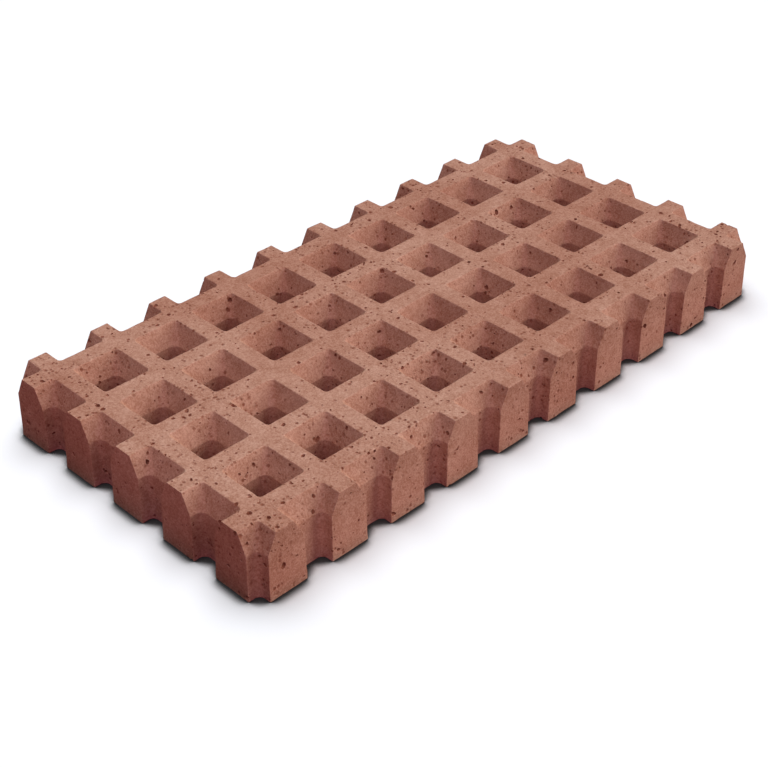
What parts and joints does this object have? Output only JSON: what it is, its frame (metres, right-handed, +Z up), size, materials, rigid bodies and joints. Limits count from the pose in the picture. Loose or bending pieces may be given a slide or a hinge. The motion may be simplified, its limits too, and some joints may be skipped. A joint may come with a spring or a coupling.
{
  "type": "perforated clay paving brick",
  "caption": "Flat fired-clay paving brick pierced by a square grid of funnel-mouthed holes, with toothed sides that continue the grid into the next one.",
  "frame": {"origin": "centre of the underside, at floor level", "axes": "+X along the length, +Y across the width, +Z up through the top face"},
  "size_m": [0.5976, 0.2976, 0.058],
  "materials": {
    "fired_clay": "matte"
  },
  "bodies": {
    "root": {"grid_brick": "fired_clay"}
  },
  "joints": []
}
